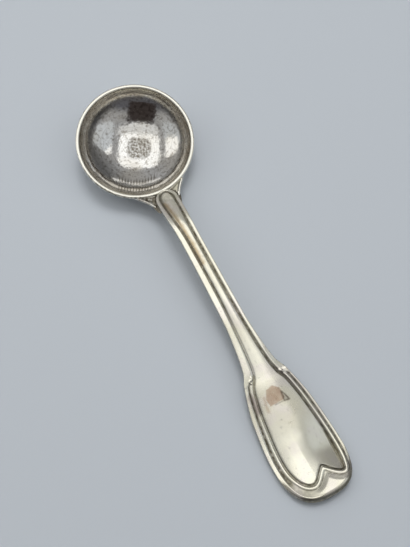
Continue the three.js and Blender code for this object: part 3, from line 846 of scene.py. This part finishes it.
def make_handle():
    plan = plan_grid()
    pattern = Pattern(plan.reshape(-1, 2))
    height = worn(pattern.height().reshape(ROWS, COLUMNS), 3)
    top = np.dstack([plan, face_height(plan[..., 0]) + height])
    marks = {"groove": pattern.groove(), **handle_marks(plan.reshape(-1, 2))}
    points = [top.reshape(-1, 3)]
    faces = grid_faces(ROWS, COLUMNS).tolist()

    border = border_of_grid(ROWS, COLUMNS)
    count = ROWS * COLUMNS
    before = border
    for ring in side_rings(plan.reshape(-1, 2)[border], height.reshape(-1)[border]):
        points.append(ring)
        now = np.arange(count, count + len(border))
        faces += band_faces(before, now).tolist()
        before = now
        count += len(border)

    back = back_grid(plan)
    rows, columns = back.shape[:2]
    points.append(back.reshape(-1, 3))
    back_border = border_of_grid(rows, columns, count)
    fine = [np.roll(before, -j)[::BACK_STEP] for j in range(BACK_STEP, -1, -1)]
    faces += np.stack([*fine, back_border, np.roll(back_border, -1)], axis=1).tolist()
    face_down = [0, 3, 2, 1]
    faces += grid_faces(rows, columns, count)[:, face_down].tolist()

    points = np.vstack(points)
    face_count = ROWS * COLUMNS
    unmarked = np.zeros(len(points) - face_count)
    attributes = {key: np.append(values, unmarked) for key, values in marks.items()}
    # Painted shade down the handle's sides, darkest round the end.
    side_shade = 0.55 + 0.4 * smoothstep(points[face_count:, 0], WIDEST_X, END_X)
    attributes["side"] = np.append(np.zeros(face_count), side_shade)
    points[:, :2] = skewed(points[:, :2])
    return add_smooth_mesh("handle_silver", points, faces, **attributes)


# Solder

def make_fillet(name, side):
    """A rough run of solder in the corner between the lug and the nose."""
    low, high = box_mm(name)
    rows, columns = 90, 36
    along = np.linspace(0, 1, rows)[:, None]
    out = np.linspace(0, 1, columns)[None, :]
    before, after = 0.1, 0.5
    x = low[0] - before + (high[0] - low[0] + before + after) * along + 0 * out
    near_nose = np.clip((NOSE_CORNER_X - x) / (NOSE_CORNER_X - NOSE_X), 0, 0.999)
    wall = outline_half(x) * np.sqrt(1 - near_nose**2) - FILLET_OVERLAP
    width = FILLET_WIDTH * (1 - along) ** 0.7 + FILLET_LEAST_WIDTH
    y = side * (wall + width * out)
    fade = np.sin(math.pi * along) ** 0.4
    slope = FILLET_HEIGHT * (1 - out) ** 2.2 * (1 - 0.4 * along) + FILLET_FOOT_HEIGHT * (1 - out**4)
    z = LAP_Z - FILLET_OVERLAP + fade * slope
    points = np.stack([x, y, z], axis=-1).reshape(-1, 3)
    inner = np.minimum(np.minimum(along, 1 - along) * 12, 1) * np.minimum((1 - out) * 5, 1)
    lumps = 0.1 * roughness_at(points, 0.42, side * 7.0) + 0.05 * roughness_at(points, 0.2, side * 5.0)
    points[:, 2] += lumps * inner.reshape(-1)
    bottom = points.copy()
    bottom[:, 2] = FILLET_BOTTOM
    total = rows * columns
    border = border_of_grid(rows, columns)
    top, skirt = grid_faces(rows, columns), band_faces(border, border + total)
    if side < 0:
        top, skirt = top[:, ::-1], skirt[:, ::-1]
    faces = np.vstack([top, top[:, ::-1] + total, skirt]).tolist()
    piece = add_smooth_mesh(name + "_run", np.vstack([points, bottom]), faces)
    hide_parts(name)
    return piece


# Materials

# Places of the colours among the sockets of Blender's Mix node.
MIX_FIRST = 6
MIX_SECOND = 7
MIX_RESULT = 2


class Shades:
    """The nodes of a material or of the world, added one by one."""

    def __init__(self, owner):
        owner.use_nodes = True
        self.nodes = owner.node_tree.nodes
        self.links = owner.node_tree.links

    def put(self, value, socket):
        """Gives a socket its value, or another node's output."""
        if isinstance(value, bpy.types.NodeSocket):
            self.links.new(value, socket)
        else:
            socket.default_value = value

    def add(self, kind, inputs=None, **settings):
        """Adds a node and returns its outputs."""
        node = self.nodes.new("ShaderNode" + kind)
        for key, value in settings.items():
            setattr(node, key, value)
        for key, value in (inputs or {}).items():
            self.put(value, node.inputs[key])
        return node.outputs

    def fade(self, value, low, high, to=1.0, start=0.0):
        """From a start to an end, as a value goes from low to high."""
        limits = {"From Min": low, "From Max": high, "To Min": start, "To Max": to}
        return self.add("MapRange", {"Value": value, **limits})["Result"]

    def mix(self, share, first, second):
        """One colour that turns into a second one as the share grows."""
        inputs = {"Factor": share, MIX_FIRST: first, MIX_SECOND: second}
        for place, colour in inputs.items():
            inputs[place] = (*colour, 1) if isinstance(colour, tuple) else colour
        return self.add("Mix", inputs, data_type="RGBA")[MIX_RESULT]

    def math(self, kind, first, second=0.0):
        return self.add("Math", {0: first, 1: second}, operation=kind)[0]

    def times(self, first, second):
        return self.math("MULTIPLY", first, second)

    def most(self, *values):
        most = values[0]
        for value in values[1:]:
            most = self.math("MAXIMUM", most, value)
        return most

    def plus(self, value, parts):
        """A value with a share of each other one added."""
        for other, share in parts:
            value = self.math("ADD", value, self.times(other, share))
        return value

    def dot(self, first, second):
        return self.add("VectorMath", {0: first, 1: tuple(second)}, operation="DOT_PRODUCT")["Value"]


class Metal(Shades):
    """A metal's material, with patterns that are fixed in the piece. Their scales are per metre."""

    def __init__(self, name):
        self.material = bpy.data.materials.new(name)
        super().__init__(self.material)
        self.place = self.add("TexCoord")["Object"]

    def attribute(self, name):
        return self.add("Attribute", attribute_name=name)["Fac"]

    def noise(self, scale, detail=3, stretch=(1, 1, 1), turn=0, place=None):
        """Smooth random values about 0.5, turned by so many degrees and stretched."""
        turned = {"Vector": place or self.place, "Rotation": (0, 0, math.radians(turn))}
        vector = self.add("Mapping", {**turned, "Scale": stretch})["Vector"]
        return self.add("TexNoise", {"Vector": vector, "Scale": scale, "Detail": detail})["Fac"]

    def scratches(self, scales):
        """Heights of fine scratches, with a scale for each direction in degrees."""
        return self.most(*[
            self.fade(self.noise(scale, detail=2, stretch=(0.06, 1, 1), turn=turn), 0.56, 0.68)
            for turn, scale in scales.items()
        ])

    def polishing_rings(self):
        """Heights of fine polishing lines that run round the bowl."""
        across, along = 4.5, 260
        flat = self.add("SeparateXYZ", {"Vector": self.place})
        places = {"Y": self.times(flat["X"], along), "Z": self.times(flat["Y"], along)}
        places["X"] = self.times(self.attribute("reach"), across)
        return self.noise(1, place=self.add("CombineXYZ", places)["Vector"])

    def painted_lamp_dots(self):
        """Light and dark by turns: painted dark gaps that break the mirrored row of lamps into dots.
        """
        turns = self.dot(self.place, STUDIO_RIGHT * 2 * math.pi / (LAMP_DOT_PITCH * MM))
        dashes = self.fade(self.math("SINE", turns), -0.3, 0.4, to=0.85)
        return self.times(dashes, self.attribute("painted_lamp_dots"))

    def finish(self, colour, roughness, bumps):
        """Sets the shader. Each bump is (height, strength, distance in millimetres)."""
        shader = self.nodes["Principled BSDF"].inputs
        self.put(1.0, shader["Metallic"])
        self.put(colour, shader["Base Color"])
        self.put(roughness, shader["Roughness"])
        below = {}
        for height, strength, distance in bumps:
            bump = {"Height": height, "Strength": strength, "Distance": distance * MM}
            below = {"Normal": self.add("Bump", {**bump, **below})["Normal"]}
        self.put(below["Normal"], shader["Normal"])
        return self.material


BOWL_SILVER = (0.88, 0.875, 0.86)
BOWL_WARM = (0.78, 0.75, 0.69)
BOWL_TARNISH_AND_SHADE = (0.22, 0.19, 0.15)
PIT_AND_SHADE_DARK = (0.1, 0.085, 0.06)
WEB_OLIVE = (0.27, 0.25, 0.17)
WALL_BROWN_AND_SHADE = (0.7, 0.64, 0.55)
LIP_AND_HIGHLIGHT_SILVER = (1.0, 0.975, 0.88)
HANDLE_SILVER = (0.94, 0.915, 0.79)
HANDLE_WARM = (0.86, 0.82, 0.67)
HANDLE_PINK = (0.91, 0.855, 0.785)
GROOVE_TARNISH_AND_SHADE = (0.10, 0.085, 0.055)
STAIN_PINK = (0.56, 0.42, 0.31)
CRACK_BROWN = (0.12, 0.085, 0.06)
PURPLE_BROWN = (0.36, 0.28, 0.27)
GOLDEN_BROWN = (0.5, 0.37, 0.2)
SOLDER_GREY = (0.46, 0.42, 0.34)
SOLDER_DARK = (0.09, 0.075, 0.055)


def bowl_material():
    """Bright silver with fine scratches and spots, tarnished and painted with shade up its wall, with
    painted highlight arcs, painted shade in its middle and under its front lip, painted gaps in a
    mirrored lamp row, and rough on its left web.
    """
    metal = Metal("polished_silver")
    clouds = metal.noise(160, detail=4)
    spots = metal.noise(1500)
    grain = metal.noise(2500)
    dents = metal.noise(850, detail=2)
    scratches = metal.scratches({20: 2600, 140: 2400})
    rings = metal.polishing_rings()
    marks = "web", "smooth_web", "lip", "wall", "painted_highlight", "spot", "steep"
    web, smooth_web, lip, wall, painted_highlight, spot, steep = map(metal.attribute, marks)

    dark = metal.most(
        metal.fade(spots, 0.5, 0.68, to=0.62),
        metal.times(scratches, 0.12),
        metal.fade(rings, 0.48, 0.68, to=0.3),
        # Painted shade: darkened grain in the dull spot at the bowl's middle.
        metal.times(metal.fade(grain, 0.4, 0.6, to=0.95), spot),
        metal.times(metal.fade(grain, 0.52, 0.66, to=0.7), steep),
        # Painted reflection: dark gaps between the dots of the mirrored lamp row.
        metal.painted_lamp_dots(),
    )
    # Pits on the left web, and painted shade along the front of the lip's outside.
    pits_and_shade = metal.times(metal.fade(spots, 0.4, 0.6, start=0.5), web)
    colour = metal.mix(metal.fade(clouds, 0.42, 0.66), BOWL_SILVER, BOWL_WARM)
    # The lip's silver also paints the highlight arcs inside the lip.
    for share, mark_colour in (
            (wall, WALL_BROWN_AND_SHADE), (dark, BOWL_TARNISH_AND_SHADE), (metal.most(lip, painted_highlight), LIP_AND_HIGHLIGHT_SILVER),
            (pits_and_shade, PIT_AND_SHADE_DARK), (metal.times(smooth_web, 0.75), WEB_OLIVE)):
        colour = metal.mix(share, colour, mark_colour)

    roughness = metal.fade(clouds, 0.35, 0.7, start=0.09, to=0.14)
    smoother_highlight = metal.times(painted_highlight, steep)
    roughness = metal.plus(roughness, [
        (lip, 0.16), (web, 0.15), (steep, 0.1), (smoother_highlight, -0.06), (spot, 0.35),
    ])
    return metal.finish(colour, roughness, [
        (clouds, 0.1, 0.06), (dents, 0.55, 0.055), (rings, 0.6, 0.006), (scratches, 0.2, 0.003),
        (grain, 0.25, 0.004),
    ])


def handle_material():
    """Worn struck silver: warm, satin, dark in the grooves, with stains on its face and painted shade
    on its sides and under its end.
    """
    metal = Metal("satin_silver")
    clouds = metal.noise(140, detail=4)
    spots = metal.noise(1300)
    blush = metal.noise(210, detail=2, stretch=(1, 1, 0.2))
    scratches = metal.scratches({0: 2200, 35: 2800})

    colour = metal.mix(metal.fade(clouds, 0.4, 0.68), HANDLE_SILVER, HANDLE_WARM)
    colour = metal.mix(metal.fade(blush, 0.48, 0.62, to=0.8), colour, HANDLE_PINK)
    uneven = metal.fade(spots, 0.3, 0.6, start=0.75)
    for name, mark_colour, strength in (
            ("golden", GOLDEN_BROWN, 0.8), ("stain", STAIN_PINK, 0.95), ("purple", PURPLE_BROWN, 0.75),
            ("crack", CRACK_BROWN, 0.9)):
        share = metal.times(metal.times(metal.attribute(name), strength), uneven)
        colour = metal.mix(share, colour, mark_colour)
    # Tarnish in the grooves, with painted shade on the sides and under the end.
    tarnish_and_shade = metal.most(metal.times(metal.attribute("groove"), 0.95), metal.attribute("side"))
    tarnish_and_shade = metal.times(tarnish_and_shade, metal.fade(spots, 0.3, 0.6, start=0.6))
    dark = metal.most(tarnish_and_shade, metal.fade(spots, 0.6, 0.78, to=0.18))
    colour = metal.mix(dark, colour, GROOVE_TARNISH_AND_SHADE)

    roughness = metal.plus(metal.fade(clouds, 0.3, 0.7, start=0.2, to=0.28), [(dark, 0.2)])
    return metal.finish(colour, roughness, [
        (clouds, 0.08, 0.15), (scratches, 0.2, 0.003), (spots, 0.1, 0.006),
    ])


def solder_material():
    """Tarnished silver solder, lumpy and patchy."""
    metal = Metal("tarnished_solder")
    lumps = metal.noise(1600, detail=4)
    patches = metal.noise(700)
    colour = metal.mix(metal.fade(patches, 0.35, 0.62), SOLDER_GREY, SOLDER_DARK)
    roughness = metal.fade(lumps, 0.3, 0.7, start=0.25, to=0.6)
    return metal.finish(colour, roughness, [(lumps, 0.6, 0.15), (patches, 0.4, 0.2)])


# Floor, lights and camera

FLOOR_REACH = 600
FLOOR_GAP = 0.01
FLOOR_GREY = (0.71, 0.76, 0.82, 1)
FLOOR_ROUGHNESS = 0.9
KEY_PLACE = (40, 420, 1650)
KEY_SIZE = 600
KEY_POWER = 5.4
WHITE = (1, 1, 0.98)
COOL = (0.93, 0.97, 1)
DOORWAY_RED = (1, 0.8, 0.75)
# Rounded lamps overhead: middle and half size as slopes to the right and back, corner, colour,
# strength and height.
CEILING_LAMPS = {
    "lamp_middle": ((-0.005, 0.215), (0.425, 0.385), 0.15, WHITE, 1.17, STUDIO_HEIGHT),
    "lamp_left": ((-1.16, 0.2), (0.56, 0.3), 0.2, WHITE, 1.15, STUDIO_HEIGHT),
    "lamp_left_far": ((-1.55, -0.2), (0.95, 0.45), 0.35, COOL, 0.55, 330),
    "lamp_right": ((0.83, 0.13), (0.21, 0.24), 0.14, WHITE, 1.2, 600),
    "lamp_right_far": ((1.4, -0.12), (0.8, 0.46), 0.35, COOL, 0.6, 330),
    "lamp_apron": ((0.02, -0.25), (0.46, 0.13), 0.05, WHITE, 0.7, 340),
}
# Cards by their corners: slopes to the right and back, and height.
LAMP_BRACKET = [(-0.36, -0.38, 320), (0.24, -0.38, 320), (0.24, -0.44, 320), (-0.36, -0.44, 320)]
DARK_DOORWAY = [
    (-0.34, -0.48, 600), (0.3, -0.48, 600), (0.4, -1.3, 300), (0.5, -2.6, 150),
    (-1.4, -2.6, 150), (-0.8, -1.25, 300),
]
ROW_COUNT = 13
ROW_SPACING = 16.5
ROW_BACK = 210
ROW_HEIGHT = 126
ROW_RADIUS = 13
# The room's own light: the ways it changes toward, the cosines it changes between and its colours.
ROOM_LOW = (0.05, 0.05, 0.05)
ROOM = [
    ((0, 0, 1), 0.22, 0.5, (0.36, 0.36, 0.36)),
    ((0, 0, 1), 0.55, 0.85, (0.34, 0.34, 0.34)),
    (-STUDIO_BACK, 0.6, 0.8, (0.1, 0.1, 0.11)),
    (0.75 * STUDIO_RIGHT + 0.66 * STUDIO_BACK, 0.55, 0.85, (0.11, 0.11, 0.11)),
]


def make_floor():
    corners = np.array([(-1, -1, 0), (1, -1, 0), (1, 1, 0), (-1, 1, 0)])
    floor = add_flat_mesh("floor", corners * FLOOR_REACH, [(0, 1, 2, 3)])
    material = bpy.data.materials.new("pale_floor")
    shader = Shades(material).nodes["Principled BSDF"].inputs
    shader["Base Color"].default_value = FLOOR_GREY
    shader["Roughness"].default_value = FLOOR_ROUGHNESS
    floor.data.materials.append(material)
    floor.location.z = -FLOOR_GAP * MM


def studio_point(right, back, up):
    """From the studio's axes, which are square to the camera, to the ladle's."""
    return right * STUDIO_RIGHT + back * STUDIO_BACK + np.array([0, 0, up])


def sloped_points(corners):
    """Places in the studio, from slopes to the right and back, and a height."""
    return [studio_point(right * up, back * up, up) for right, back, up in corners]


def glow_material(name, colour, strength):
    material = bpy.data.materials.new(name)
    shades = Shades(material)
    shades.nodes.remove(shades.nodes["Principled BSDF"])
    glow = shades.add("Emission", {"Color": (*colour, 1), "Strength": strength})
    shades.put(glow["Emission"], shades.nodes["Material Output"].inputs["Surface"])
    return material


def add_card(name, points, colour, strength, faces=None):
    """A flat lamp or a dark card of the studio, which the camera doesn't see."""
    card = add_flat_mesh(name, points, faces or [tuple(range(len(points)))])
    card.data.materials.append(glow_material(name + "_glow", colour, strength))
    card.visible_camera = False
    card.visible_shadow = False


def rounded_rectangle(middle, half, radius, steps=8):
    """Outline of a rectangle with rounded corners."""
    points = []
    for quarter, (sx, sy) in enumerate([(1, 1), (-1, 1), (-1, -1), (1, -1)]):
        for step in range(steps + 1):
            angle = (quarter + step / steps) * math.pi / 2
            points.append((
                middle[0] + sx * (half[0] - radius) + radius * math.cos(angle),
                middle[1] + sy * (half[1] - radius) + radius * math.sin(angle),
            ))
    return points


def add_lamp_row():
    """A row of small round lamps along the back wall."""
    turns = 2 * math.pi * np.arange(8) / 8
    points, faces = [], []
    for i in range(ROW_COUNT):
        middle = (i - (ROW_COUNT - 1) / 2) * ROW_SPACING
        faces.append(tuple(range(len(points), len(points) + len(turns))))
        for right, up in zip(ROW_RADIUS * np.cos(turns), ROW_RADIUS * np.sin(turns)):
            points.append(studio_point(middle + right, ROW_BACK, ROW_HEIGHT + up))
    add_card("lamp_row", points, WHITE, 1.0, faces)


def add_soft_key():
    """A large soft lamp high at the back, which lights the floor but isn't mirrored in the silver."""
    light = bpy.data.lights.new("soft_key", "AREA")
    light.shape = "DISK"
    light.size = KEY_SIZE * MM
    light.energy = KEY_POWER
    lamp = add_object("soft_key", light)
    lamp.location = studio_point(*KEY_PLACE) * MM
    lamp.rotation_mode = "QUATERNION"
    lamp.rotation_quaternion = lamp.location.to_track_quat("Z", "Y")
    lamp.visible_glossy = False


def make_world():
    world = bpy.data.worlds.new("studio")
    shades = Shades(world)
    direction = shades.add("TexCoord")["Generated"]
    colour = ROOM_LOW
    for way, low, high, shade in ROOM:
        colour = shades.mix(shades.fade(shades.dot(direction, way), low, high), colour, shade)
    shades.put(colour, shades.nodes["Background"].inputs["Color"])
    bpy.context.scene.world = world


def make_studio():
    make_world()
    for name, (middle, half, radius, colour, strength, height) in CEILING_LAMPS.items():
        points = sloped_points((*place, height) for place in rounded_rectangle(middle, half, radius))
        add_card(name, points, colour, strength, [tuple(range(len(points)))[::-1]])
    add_card("lamp_bracket", sloped_points(LAMP_BRACKET), WHITE, 0.85)
    add_card("dark_doorway", sloped_points(DARK_DOORWAY), DOORWAY_RED, 0.04)
    add_lamp_row()
    add_soft_key()


def make_camera():
    data = bpy.data.cameras.new("camera")
    data.lens = CAMERA_LENS
    data.clip_start = CAMERA_NEAR * MM
    data.clip_end = CAMERA_FAR * MM
    camera = add_object("camera", data)
    away = Vector(studio_point(0, -math.cos(CAMERA_ELEVATION), math.sin(CAMERA_ELEVATION)))
    camera.location = (Vector(CAMERA_TARGET) + away * CAMERA_DISTANCE) * MM
    camera.rotation_mode = "QUATERNION"
    camera.rotation_quaternion = (-away).to_track_quat("-Z", "Y")
    bpy.context.scene.camera = camera


make_camera()
make_floor()
make_studio()

bowl_finish = bowl_material()
handle_finish = handle_material()
solder_finish = solder_material()

bowl = make_bowl()
bowl.data.materials.append(bowl_finish)
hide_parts("bowl")
handle = make_handle()
handle.data.materials.append(handle_finish)
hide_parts("handle")
pieces = [bowl, handle]
for name, side in (("solder_fillet_left", -1), ("solder_fillet_right", 1)):
    run = make_fillet(name, side)
    run.data.materials.append(solder_finish)
    pieces.append(run)
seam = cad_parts["solder_seam"]
seam.data.materials.clear()
seam.data.materials.append(solder_finish)
for piece in pieces:
    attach(piece, "root")

bpy.context.scene.view_settings.view_transform = "Standard"
